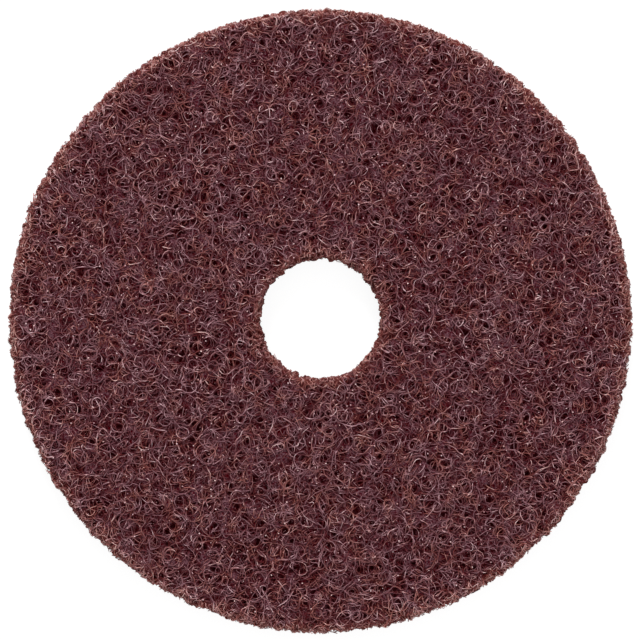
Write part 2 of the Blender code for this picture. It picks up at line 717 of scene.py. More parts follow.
@dataclass
class Mat:
    """The mat that fills the disc's middle, under the fibres that show.

    Attributes:
        form: The disc's sizes.
        pockets: The web's open pockets.
        shares: Equal parts that the ring is made of.
        turns: Steps round each of them.
        face_pitch: Spacing of the front face's rings.
        wall_pitch: Spacing of the walls' rings.
        back_pitch: Spacing of the back face's rings.
        under_front: Depth of the mat below the front face, where the web is open.
        under_patch: The same, where resin closes it.
        lumps: Pattern of the mat's own unevenness.
        lump_depth: How far that moves it.
        lump_fill: Share of the lumps that a patch of resin levels.
        behind_cut: Depth of the mat behind the rim and the bore.
        above_back: Height of its underside.
        pocket_depth: How much deeper it lies under a pocket.
        pocket_shade: Share of painted shade on a pocket's floor.
        fine: Distance between the points of its maps of the front face.
        map_reach: Half width of those maps, in outer radii.
        wall_reach: How far in the walls' points are told from the face's, in depths behind the cut.
        face_edge: Shares of the mat's height between which the face's marks set in.
        rust_reach: How far the rust tint of a cut reaches in.
        rust_below: Share of that tint on the underside.
        rust_above: Share of it on the walls and the face.
        rust_edge: Shares of the mat's height between which the one passes into the other.
        face_spots: Middles of the front and the back on the UV map.
        face_span: Width of each on it.
        strip_start: Where the walls' strips start on it.
        strip_span: Length of the strips.
        strip_feet: Height of the foot of the rim's strip, and of the bore's.
        strip_height: Height of each strip.
    """

    form: DiscForm
    pockets: Pockets
    shares: int = 40
    turns: int = 19
    face_pitch: float = 0.50 * MM
    wall_pitch: float = 0.5 * MM
    back_pitch: float = 4.0 * MM
    under_front: float = 0.55 * MM
    under_patch: float = 0.25 * MM
    lumps: WaveField = WaveField(size=0.8 * MM, seed=32)
    lump_depth: float = 0.16 * MM
    lump_fill: float = 0.6
    behind_cut: float = 0.06 * MM
    above_back: float = 0.30 * MM
    pocket_depth: float = 1.0 * MM
    pocket_shade: float = 0.9
    fine: float = 0.2 * MM
    map_reach: float = 1.05
    wall_reach: float = 1.02
    face_edge: Range = (0.9, 1.0)
    rust_reach: float = 1.1 * MM
    rust_below: float = 0.2
    rust_above: float = 0.7
    rust_edge: Range = (0.0, 0.2)
    face_spots: tuple[Spot, Spot] = ((0.25, 0.73), (0.75, 0.73))
    face_span: float = 0.48
    strip_start: float = 0.02
    strip_span: float = 0.94
    strip_feet: tuple[float, float] = (0.22, 0.06)
    strip_height: float = 0.12

    @cached_property
    def front_map(self) -> FaceMap:
        """Height of the fleece's upper side."""
        return FaceMap.of(self.form.front, self.map_reach * self.form.outer_radius, self.fine)

    @cached_property
    def under_map(self) -> FaceMap:
        """Depth of the mat below that."""
        return FaceMap.of(self.under, self.map_reach * self.form.outer_radius, self.fine)

    def section(self) -> np.ndarray:
        """Points of the mat's section, as rows of radius and height, once round."""
        low, high = self.above_back, self.form.thickness - self.under_patch
        near = self.form.bore_radius + self.behind_cut
        far = self.form.outer_radius - self.behind_cut
        corners = [
            ((near, low), (far, low), self.back_pitch),
            ((far, low), (far, high), self.wall_pitch),
            ((far, high), (near, high), self.face_pitch),
            ((near, high), (near, low), self.wall_pitch),
        ]
        runs = []
        for start, end, pitch in corners:
            count = max(1, round(math.dist(start, end) / pitch))
            runs.append(np.linspace(start, end, count, endpoint=False))
        return np.concatenate(runs)

    def turned(self) -> bpy.types.Object:
        """Spins the section into one share of a smooth ring, and that into the ring."""
        section = self.section()
        mesh = bpy.data.meshes.new("fleece_mat")
        points = [(radius, 0.0, height) for radius, height in section.tolist()]
        edges = [(i, (i + 1) % len(points)) for i in range(len(points))]
        mesh.from_pydata(points, edges, [])
        mat = placed("fleece_mat", mesh)
        pick(mat)
        bpy.ops.object.mode_set(mode="EDIT")
        bpy.ops.mesh.select_all(action="SELECT")
        share = 2 * math.pi / self.shares
        bpy.ops.mesh.spin(steps=self.turns, angle=share, center=(0, 0, 0), axis=(0, 0, 1))
        bpy.ops.mesh.select_all(action="SELECT")
        bpy.ops.mesh.spin(
            steps=self.shares - 1, angle=2 * math.pi - share, dupli=True,
            center=(0, 0, 0), axis=(0, 0, 1),
        )
        bpy.ops.mesh.select_all(action="SELECT")
        bpy.ops.mesh.remove_doubles(threshold=MAT_MERGE)
        bpy.ops.mesh.normals_make_consistent(inside=False)
        bpy.ops.object.mode_set(mode="OBJECT")
        bpy.ops.object.shade_smooth()
        return mat

    def under(self, x: np.ndarray, y: np.ndarray) -> np.ndarray:
        """Depth of the mat below the front face at each place."""
        patch = self.form.patch(x, y)
        lump = self.lump_depth * np.tanh(self.lumps.on_plane(x, y)) * (1 - self.lump_fill * patch)
        level = self.under_front + (self.under_patch - self.under_front) * patch
        return level + lump + self.pocket_depth * self.pockets.openness(x, y)

    def roughened(self, points: np.ndarray) -> tuple[np.ndarray, dict[str, np.ndarray]]:
        """Moves the smooth ring's points to the buried web's own uneven surface.

        Args:
            points: Places on the smooth ring, as rows.

        Returns:
            The moved places, and the painted shade on the pockets' floors, patch and rust of each
            for the finish.
        """
        x, y, z = points.T.copy()
        radius = np.hypot(x, y)
        low, high = self.above_back, self.form.thickness - self.under_patch
        across = (radius - self.form.bore_radius) / (
            self.form.outer_radius - self.form.bore_radius
        )
        y += self.form.bore_offset * (1 - across)
        rag = self.form.ragged(x, y, z)
        wall = np.where(across < 0.5, -1.0, 1.0) * (
            self.form.inside(x, y) < self.wall_reach * self.behind_cut
        )
        x += x / radius * rag * wall
        y += y / radius * rag * wall
        raised = np.clip((z - low) / (high - low), 0.0, 1.0)
        patch = self.form.patch(x, y)
        open_here = self.pockets.openness(x, y)
        top = self.form.front(x, y) - self.under(x, y)
        z = low + raised * (top - low)
        on_face = smoothstep(*self.face_edge, raised)
        edge = np.exp(-np.maximum(self.form.inside(x, y), 0) / self.rust_reach)
        more_rust = (self.rust_above - self.rust_below) * smoothstep(*self.rust_edge, raised)
        marks = {
            # The depth mark is painted shade on the floors of the open pockets
            "depth": np.clip(on_face * self.pocket_shade * open_here, 0, 1),
            "patch": patch * on_face,
            "rusty": edge * (self.rust_below + more_rust),
        }
        return np.stack([x, y, z], -1), marks

    def build(self, finish: MatFinish) -> bpy.types.Object:
        """Makes the mat and lets it stand for the disc's solid.

        Args:
            finish: Its finish.

        Returns:
            The finished piece.
        """
        mat = self.turned()
        mesh = mat.data
        points = np.empty(3 * len(mesh.vertices))
        mesh.vertices.foreach_get("co", points)
        smooth = points.reshape(-1, 3)
        self.lay_out(mesh, smooth)
        moved, marks = self.roughened(smooth)
        mesh.vertices.foreach_set("co", moved.ravel())
        for name, values in marks.items():
            layer = mesh.attributes.new(name, "FLOAT", "POINT")
            layer.data.foreach_set("value", values)
        mesh.update()
        wear(mat, finish.material())
        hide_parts(NODE)
        return mat

    def lay_out(self, mesh: bpy.types.Mesh, points: np.ndarray) -> None:
        """Gives the mat its UV map: front left, back right, and the walls in strips below.

        Args:
            mesh: The turned mesh.
            points: Its places.
        """
        loops = len(mesh.loops)
        corner = np.empty(loops, np.int32)
        mesh.loops.foreach_get("vertex_index", corner)
        normals = np.empty(3 * len(mesh.polygons))
        mesh.polygons.foreach_get("normal", normals)
        totals = np.empty(len(mesh.polygons), np.int32)
        mesh.polygons.foreach_get("loop_total", totals)
        facing = np.repeat(normals.reshape(-1, 3), totals, axis=0)
        x, y, z = points[corner].T
        span = 2 * self.form.outer_radius
        spread = self.face_span * np.stack([x, y], -1) / span
        front, back = (np.array(spot) + spread for spot in self.face_spots)
        turn = np.arctan2(y, x) / (2 * math.pi) + 0.5
        first = np.repeat(turn[np.cumsum(totals) - totals], totals)
        turn = np.where(turn - first > 0.5, turn - 1, np.where(first - turn > 0.5, turn + 1, turn))
        rise = z / self.form.thickness
        outer = np.hypot(x, y) > (self.form.outer_radius + self.form.bore_radius) / 2
        foot = np.where(outer, *self.strip_feet)
        strip = np.stack([
            self.strip_start + self.strip_span * turn, foot + self.strip_height * rise,
        ], -1)
        flat = np.abs(facing[:, 2:]) > 0.5
        places = np.where(flat, np.where(facing[:, 2:] > 0, front, back), strip)
        layer = mesh.uv_layers.new(name=BAKE_MAP)
        layer.uv.foreach_set("vector", np.clip(places, 0, 1).astype(np.float32).ravel())


@dataclass
class Strands:
    """Fibres ready to be given their thickness, laid end to end in arrays.

    Attributes:
        counts: Points of each fibre.
        points: Places, as rows.
        swell: Thickness at each point, as a share of the common one.
        tone: Palette place from dark, for painted shade, to pale, for wear and painted glints.
        tint: Palette place from mauve to rust.
    """

    counts: list[int] = field(default_factory=list)
    points: list[np.ndarray] = field(default_factory=list)
    swell: list[np.ndarray] = field(default_factory=list)
    tone: list[np.ndarray] = field(default_factory=list)
    tint: list[np.ndarray] = field(default_factory=list)

    def add(
        self, points: np.ndarray, swell: np.ndarray, tone: np.ndarray, tint: np.ndarray
    ) -> None:
        """Adds one fibre.

        Args:
            points: Its places, as rows.
            swell: Its thickness at each.
            tone: Its tone at each.
            tint: Its tint at each.
        """
        self.counts.append(len(points))
        self.points.append(points)
        self.swell.append(swell)
        self.tone.append(tone)
        self.tint.append(tint)

    def piece(self, name: str, radius: float) -> bpy.types.Object:
        """Sweeps a three-sided section along every fibre and makes one mesh of them.

        Args:
            name: The piece's name.
            radius: The common fibre radius.

        Returns:
            The mesh object, with its palette map.
        """
        section = self.three_sided(radius)
        curve = bpy.data.curves.new(name, "CURVE")
        curve.dimensions = "3D"
        curve.bevel_mode = "OBJECT"
        curve.bevel_object = section
        curve.use_fill_caps = True
        for points, swell in zip(self.points, self.swell):
            spline = curve.splines.new("POLY")
            spline.points.add(len(points) - 1)
            rows = np.column_stack([points, np.ones(len(points))])
            spline.points.foreach_set("co", rows.ravel())
            spline.points.foreach_set("radius", swell)
        pick(placed(name, curve))
        bpy.ops.object.convert(target="MESH")
        made = bpy.context.view_layer.objects.active
        bpy.data.objects.remove(section)
        self.lay_on_palette(made.data)
        bpy.ops.object.mode_set(mode="EDIT")
        bpy.ops.mesh.select_all(action="SELECT")
        bpy.ops.mesh.remove_doubles(threshold=FIBRE_MERGE)
        bpy.ops.object.mode_set(mode="OBJECT")
        return made

    def three_sided(self, radius: float) -> bpy.types.Object:
        """Makes the section of this radius that the fibres are swept from."""
        curve = bpy.data.curves.new("fibre_section", "CURVE")
        spline = curve.splines.new("POLY")
        spline.points.add(2)
        for i, point in enumerate(spline.points):
            turn = -2 * math.pi * i / 3
            point.co = (radius * math.cos(turn), radius * math.sin(turn), 0, 1)
        spline.use_cyclic_u = True
        return placed("fibre_section", curve)

    def lay_on_palette(self, mesh: bpy.types.Mesh) -> None:
        """Gives each point of the mesh its fibre's tone and tint as its UV place.

        The swept mesh holds the caps first, from the last fibre's end to the first
        fibre's start, and then a ring of three points for each point of the fibres.

        Args:
            mesh: The swept mesh.
        """
        ends = np.cumsum(self.counts) - 1
        starts = ends + 1 - np.array(self.counts)
        caps = np.stack([ends, starts], -1)[::-1].ravel()
        rings = np.concatenate([caps, np.arange(ends[-1] + 1)])
        tone = np.repeat(np.concatenate(self.tone)[rings], 3)
        tint = np.repeat(np.concatenate(self.tint)[rings], 3)
        ring = np.tile([-1.0, 0.0, 1.0], len(rings))
        along = np.repeat(np.arange(len(rings)) % 2, 3)
        while mesh.uv_layers:
            mesh.uv_layers.remove(mesh.uv_layers[0])
        corner = np.empty(len(mesh.loops), np.int32)
        mesh.loops.foreach_get("vertex_index", corner)
        across = np.clip(tone, PALETTE_MARGIN, 1 - PALETTE_MARGIN) + SPOT_ACROSS * ring
        up = np.clip(tint, PALETTE_MARGIN, 1 - PALETTE_MARGIN) + SPOT_ALONG * (along - 0.5)
        places = np.stack([across, up], -1)[corner]
        layer = mesh.uv_layers.new(name=BAKE_MAP)
        layer.uv.foreach_set("vector", places.astype(np.float32).ravel())


@dataclass(frozen=True)
class FibreLook:
    """What sets one fibre apart from the next.

    Attributes:
        tone: How much paler than its neighbours it is.
        tint: Its place between mauve and rust.
        swell: Its thickness, as a share of the common one.
        slack: How far it stands out of a cut, or lies back from it if negative.
    """

    tone: float
    tint: float
    swell: float
    slack: float


@dataclass(frozen=True)
class FibreVariety:
    """How far the fibres of a layer differ.

    Attributes:
        worn_share: Share of them that are pale from wear.
        wear_and_shade: Mean tone of those, over the layer's.
        coated: Mean tone of the others.
        spread: Spread of the tone about either.
        least_tint: Place of the most mauve fibre.
        tint_range: How far towards rust the reddest is from it.
        swell: Thickness of the thinnest and the thickest.
        slack: How far back from a cut a fibre ends at most, and how far out.
        tone_noise: Spread of the tone along one fibre.
        swell_noise: Spread of its thickness along it.
        thinnest: Least thickness at any point.
        painted_glint_tone: How much paler a resin bead's painted glint makes it, at least and at
            most.
        bead_swell: How much thicker it is.
        region_hue: Weight of the disc's own redder and mauver places.
        cut_rust: How much redder a fibre is at a cut.
    """

    worn_share: float = 0.4
    wear_and_shade: float = 0.03
    coated: float = -0.06
    spread: float = 0.035
    least_tint: float = 0.02
    tint_range: float = 0.72
    swell: Range = (0.75, 1.25)
    slack: Range = (-0.14 * MM, 0.04 * MM)
    tone_noise: float = 0.11
    swell_noise: float = 0.18
    thinnest: float = 0.5
    painted_glint_tone: Range = (0.1, 0.26)
    bead_swell: float = 0.35
    region_hue: float = 0.26
    cut_rust: float = 0.75

    def drawn(self, rng: np.random.Generator) -> FibreLook:
        """Draws one fibre's look from these random numbers, and returns it."""
        return FibreLook(
            tone=rng.normal(
                self.wear_and_shade if rng.uniform(0, 1) < self.worn_share else self.coated, self.spread
            ),
            tint=self.least_tint + self.tint_range * rng.uniform(0, 1) ** 2,
            swell=rng.uniform(*self.swell),
            slack=rng.uniform(*self.slack),
        )


@dataclass
class CurledFibres:
    """One layer of crimped fibres on one side of the disc.

    Attributes:
        name: The piece's name.
        side: The side that they lie on.
        mat: The mat that they lie on, which hides what runs below it.
        amount: Fibre length for each unit of the side's area, in mm for a square mm.
        top: Least depth below the side's surface.
        bottom: Greatest depth.
        pale: Tone of a fibre at the surface.
        depth_shade: Painted shade: how much darker a fibre is for each mm that it lies deeper.
        hold: Share of each pocket's radius that the fibres stay out of.
        seed: Picks the fibres.
        radius: Radius of a fibre.
        variety: How far the fibres differ.
        longest: Length of the longest fibre.
        shortest: Length of the shortest, as a share of it.
        supply: Number of lengths drawn, of which the first are used.
        curl: Mean curvature of the fibres, a metre, to either side.
        bend: Spread of that curvature.
        crimp: Spread of the curvature that comes and goes, a metre.
        crimp_length: Length over which it comes and goes.
        crimp_shares: Share of that length, and of the crimp, in each of its waves.
        crimp_periods: Range of a wave's length about that.
        crimp_heights: Range of its height.
        lean: Spread of the slant of the fibres on a wall.
        weave: How far a fibre dips and rises along its way.
        weave_share: Share of that for the flattest fibre.
        weave_lengths: Range of the length over which it does.
        step: Spacing of the points that a fibre is worked out at.
        soft_passes: Times that a fibre's kinks are smoothed.
        turn_step: Turn between two points of the finished fibre.
        run_step: Distance between two points of a straight one.
        painted_glints: Share of the points that get a resin bead with a painted glint on it.
        palest: Greatest tone.
        rim_lift: How much paler a fibre is where it reaches the rim's cut.
        bore_lift: The same for the bore's.
        least_run: Fewest points of a stretch that is kept.
        most: Limit on the piece's triangles.
    """

    name: str
    side: Side
    mat: Mat
    amount: float
    top: float
    bottom: float
    pale: float
    depth_shade: float
    hold: float
    seed: int
    radius: float = 0.066 * MM
    variety: FibreVariety = FibreVariety()
    longest: float = 19 * MM
    shortest: float = 0.3
    supply: int = 200_000
    curl: float = 520.0
    bend: float = 380.0
    crimp: float = 560.0
    crimp_length: float = 3.9 * MM
    crimp_shares: tuple[float, float] = (1.0, 0.55)
    crimp_periods: Range = (0.6, 1.5)
    crimp_heights: Range = (0.3, 1.3)
    lean: float = 0.5
    weave: float = 0.40 * MM
    weave_share: float = 0.4
    weave_lengths: Range = (2.4 * MM, 6 * MM)
    step: float = 0.2 * MM
    soft_passes: int = 4
    turn_step: float = math.radians(42)
    run_step: float = 2.4 * MM
    painted_glints: float = 0.04
    palest: float = 0.97
    rim_lift: float = 0.32
    bore_lift: float = 0.12
    least_run: int = 4
    most: int = 193_000

    @property
    def form(self) -> DiscForm:
        """The disc's sizes."""
        return self.mat.form

    def spread(self) -> tuple[float, float]:
        """Length and width of the field that the fibres start in."""
        if self.side in (Side.FRONT, Side.BACK):
            return (2 * self.form.outer_radius,) * 2
        return 2 * math.pi * self.form.cut(self.side)[0], self.form.thickness

    def wandering(self, rng: np.random.Generator) -> tuple[np.ndarray, np.ndarray, np.ndarray]:
        """Works out the crimped ways of all the fibres, on the flat.

        Args:
            rng: Random numbers.

        Returns:
            First and second coordinates, a row for each fibre, and each fibre's length.
        """
        wide, high = self.spread()
        lengths = self.longest * rng.uniform(self.shortest, 1.0, self.supply)
        enough = np.searchsorted(np.cumsum(lengths), self.amount * wide * high / MM)
        lengths = lengths[: enough + 1]
        count = len(lengths)
        along = np.arange(round(self.longest / self.step)) * self.step
        curl = rng.normal(self.curl, self.bend, (count, 1)) * rng.choice([-1, 1], (count, 1))
        curvature = curl * np.ones_like(along)
        for share in self.crimp_shares:
            period = self.crimp_length * share * rng.uniform(*self.crimp_periods, (count, 1))
            phase = rng.uniform(0, 2 * math.pi, (count, 1))
            height = self.crimp * rng.uniform(*self.crimp_heights, (count, 1)) * share
            curvature = curvature + height * np.sin(2 * math.pi * along / period + phase)
        if self.side in (Side.FRONT, Side.BACK):
            heading = rng.uniform(0, 2 * math.pi, (count, 1))
        else:
            heading = rng.normal(0, self.lean, (count, 1))
            heading = heading + math.pi * rng.integers(0, 2, (count, 1))
        heading = heading + np.cumsum(curvature, 1) * self.step
        spots = (np.arange(count)[:, None] * EVEN_STEPS + rng.uniform(0, 1, 2)) % 1 - 0.5
        halfway = (lengths / self.step / 2).astype(int)[:, None]
        ways = []
        for turn, span, spot in zip((np.cos, np.sin), (wide, high), spots.T):
            way = np.cumsum(turn(heading), 1) * self.step
            way += span * spot[:, None] - np.take_along_axis(way, halfway, 1)
            ways.append(way)
        return ways[0], ways[1], lengths

    def on_side(self, x: np.ndarray, y: np.ndarray, depth: np.ndarray) -> np.ndarray:
        """Puts places of the flat field on the side of the disc.

        Args:
            x: First coordinates.
            y: Second coordinates.
            depth: Depth below the side's surface.

        Returns:
            Places in space, as rows.
        """
        if self.side is Side.FRONT:
            return np.stack([x, y, self.mat.front_map.at(x, y) - depth], -1)
        if self.side is Side.BACK:
            return np.stack([x, y, depth], -1)
        height = y + self.form.thickness / 2
        radius, middle, out = self.form.cut(self.side)
        east, north = np.cos(x / radius), np.sin(x / radius)
        rag = self.form.ragged(radius * east, middle + radius * north, height)
        radius = radius + out * (rag - depth - self.form.back_at(height))
        return np.stack([radius * east, middle + radius * north, height], -1)

    def kept(self, x: np.ndarray, y: np.ndarray, slack: float) -> np.ndarray:
        """Says which places of a fibre lie on the disc.

        Args:
            x: First coordinates.
            y: Second coordinates.
            slack: How far this fibre stands out of a cut, or in if it is negative.

        Returns:
            True for the places that are kept.
        """
        if self.side in (Side.FRONT, Side.BACK):
            rag = self.form.ragged(x, y, np.full(x.shape, self.form.thickness))
            return self.form.inside(x, y) + rag > -slack
        height = y + self.form.thickness / 2
        return (height > self.radius) & (height < self.form.thickness - self.radius)

    def eased(self, path: np.ndarray) -> np.ndarray:
        """Draws a fibre with few points: close in its curls and far apart on its runs.

        Args:
            path: The fibre's fine points and their other values, as rows.

        Returns:
            The rows that remain.
        """
        runs = np.diff(path[:, :3], axis=0)
        lengths = np.maximum(np.linalg.norm(runs, axis=1), LEAST_LENGTH)
        ways = runs / lengths[:, None]
        turns = np.arccos(np.clip((ways[1:] * ways[:-1]).sum(1), -1, 1))
        measure = lengths / self.run_step
        measure[1:] += turns / self.turn_step
        total = np.concatenate([[0.0], np.cumsum(measure)])
        marks = np.linspace(0, total[-1], max(3, math.ceil(total[-1]) + 1))
        return np.stack([np.interp(marks, total, column) for column in path.T], -1)

    def softened(self, ways: np.ndarray) -> np.ndarray:
        """Rounds off the kinks that fibres have where two pockets meet, a row for each fibre."""
        for _ in range(self.soft_passes):
            ends = np.pad(ways, ((0, 0), (1, 1)), mode="edge")
            ways = (ends[:, :-2] + 2 * ways + ends[:, 2:]) / 4
        return ways

    def strands(self) -> Strands:
        """Makes the layer's fibres: crimped, bent round the pockets and cut at the edges."""
        rng = np.random.default_rng(self.seed)
        x, y, lengths = self.wandering(rng)
        if self.side is Side.FRONT:
            x, y = (self.softened(way) for way in self.mat.pockets.bent_aside(x, y, self.hold))
        hidden = np.full(x.shape, np.inf)
        if self.side is Side.FRONT:
            hidden = self.mat.under_map.at(x, y)
        found = Strands()
        triangles = 0
        for i in range(len(x)):
            steps = int(lengths[i] / self.step)
            along = np.arange(steps) * self.step
            middle = rng.uniform(self.top, self.bottom)
            turns = 2 * math.pi * along / rng.uniform(*self.weave_lengths)
            turns = turns + rng.uniform(0, 2 * math.pi)
            dip = self.weave * rng.uniform(self.weave_share, 1.0) * np.sin(turns)
            depth = np.maximum(middle + dip, self.top)
            own = self.variety.drawn(rng)
            keep = self.kept(x[i, :steps], y[i, :steps], own.slack)
            keep &= depth < hidden[i, :steps] + self.radius
            for run in self.runs(keep):
                place = self.on_side(x[i, run], y[i, run], depth[run])
                path = self.eased(np.column_stack([place, depth[run]]))
                # Three sides of two triangles for each stretch, and a triangle at each end
                triangles += 6 * (len(path) - 1) + 2
                if triangles > self.most:
                    LOG.warning("%s: stopped at %d fibres of %d", self.name, i, len(x))
                    return found
                found.add(path[:, :3], *self.coated(path, own, rng))
        LOG.info("%s: %d fibres", self.name, len(x))
        return found

    def coated(
        self, path: np.ndarray, own: FibreLook, rng: np.random.Generator
    ) -> tuple[np.ndarray, np.ndarray, np.ndarray]:
        """Gives a finished fibre its resin beads with painted glints, painted shade that darkens it
        the deeper it lies, and rust at a cut.

        Args:
            path: Its points and their depths, as rows.
            own: What sets it apart.
            rng: Random numbers.

        Returns:
            Its thickness, tone and tint at each point.
        """
        look = self.variety
        x, y, _, depth = path.T
        noise = rng.normal(0, 1, (2, len(path)))
        # Painted glints: a few points swell into resin beads and are painted paler
        glint_bead = rng.uniform(0, 1, len(path)) < self.painted_glints
        # Painted shade: the deeper a fibre lies, the darker its tone
        tone = self.pale - self.depth_shade * depth / MM + own.tone + look.tone_noise * noise[0]
        tone = tone + glint_bead * rng.uniform(*look.painted_glint_tone, len(path))
        edge = np.exp(-np.maximum(self.form.inside(x, y), 0) / self.mat.rust_reach)
        outer = np.hypot(x, y) > 0.5 * self.form.outer_radius
        tone = tone + np.where(outer, self.rim_lift, self.bore_lift) * edge
        hue = look.region_hue * self.form.hue(x, y)
        tint = np.clip(own.tint + hue + look.cut_rust * edge, 0, 1)
        swell = np.maximum(1 + look.swell_noise * noise[1] + look.bead_swell * glint_bead, look.thinnest)
        return own.swell * swell, np.minimum(tone, self.palest), tint

    def runs(self, keep: np.ndarray) -> list[slice]:
        """Splits a fibre into the stretches that lie on the disc.

        Args:
            keep: True for each place on it.

        Returns:
            A slice for each stretch that is long enough.
        """
        edges = np.flatnonzero(np.diff(np.concatenate([[0], keep.astype(int), [0]])))
        ends = zip(edges[::2], edges[1::2])
        return [slice(start, end) for start, end in ends if end - start >= self.least_run]

    def build(self, finish: bpy.types.Material) -> bpy.types.Object:
        """Makes the layer as one piece, and returns it."""
        return wear(self.strands().piece(self.name, self.radius), finish)


@dataclass
class CutEnds:
    """Short fibre ends that the punch leaves standing all over the rim and the bore.

    Attributes:
        mat: The mat that they stand in.
        name: The piece's name.
        gap: Distance from one end to the next.
        reach: How far back from the cut an end starts.
        knee: Where its middle point lies, as a share of that.
        lean: Spread of its slant along the cut.
        rise: Spread of its slant up and down.
        slack: How far back from the cut an end stops at most, and how far out.
        radius: Radius of a fibre.
        swell: Its thickness at the thinnest and the thickest.
        pale: Mean tone.
        spread: Spread of the tone.
        wear_and_shade: How much paler each of its three points is, from the one deepest in the cut
            to the tip; the darker buried end is painted shade.
        palest: Greatest tone.
        rust: Mean tint.
        rust_spread: Spread of the tint.
        seed: Picks the ends.
    """

    mat: Mat
    name: str = "cut_ends"
    gap: float = 0.52 * MM
    reach: float = 0.9 * MM
    knee: float = 0.4
    lean: float = 0.5 * MM
    rise: float = 0.25 * MM
    slack: Range = (-0.12 * MM, 0.04 * MM)
    radius: float = 0.095 * MM
    swell: Range = (0.7, 1.3)
    pale: float = 0.75
    spread: float = 0.30
    wear_and_shade: tuple[float, float, float] = (-0.2, 0.0, 0.08)
    palest: float = 0.93
    rust: float = 0.75
    rust_spread: float = 0.2
    seed: int = 51

    def strands(self) -> Strands:
        """Makes all the ends."""
        rng = np.random.default_rng(self.seed)
        form = self.mat.form
        found = Strands()
        for radius, middle, out in (form.cut(Side.RIM), form.cut(Side.BORE)):
            count = round(2 * math.pi * radius * form.thickness / self.gap**2)
            turn = rng.uniform(0, 2 * math.pi, count)
            height = rng.uniform(self.gap / 2, form.thickness - self.gap / 2, count)
            east, north = np.cos(turn), np.sin(turn)
            rag = form.ragged(radius * east, middle + radius * north, height)
            cut = rag - form.back_at(height) + rng.uniform(*self.slack, count)
            back = np.array([self.reach, self.knee * self.reach, 0.0])
            for i in range(count):
                along = radius + out * (cut[i] - back)
                side = np.cumsum(rng.normal(0, self.lean, 3)) - self.lean / 2
                up = height[i] + rng.normal(0, self.rise, 3)
                up = np.clip(up, self.radius, form.thickness - 2 * self.radius)
                path = np.stack([
                    along * east[i] - side * north[i],
                    middle + along * north[i] + side * east[i],
                    up,
                ], -1)
                # Painted shade: an end is darker where it lies buried in the cut
                tone = self.pale + rng.normal(0, self.spread) + np.array(self.wear_and_shade)
                tone = np.minimum(tone, self.palest)
                tint = np.full(3, np.clip(self.rust + rng.normal(0, self.rust_spread), 0, 1))
                found.add(path, rng.uniform(*self.swell, 3), tone, tint)
        return found

    def build(self, finish: bpy.types.Material) -> bpy.types.Object:
        """Makes the ends as one piece, and returns it."""
        return wear(self.strands().piece(self.name, self.radius), finish)


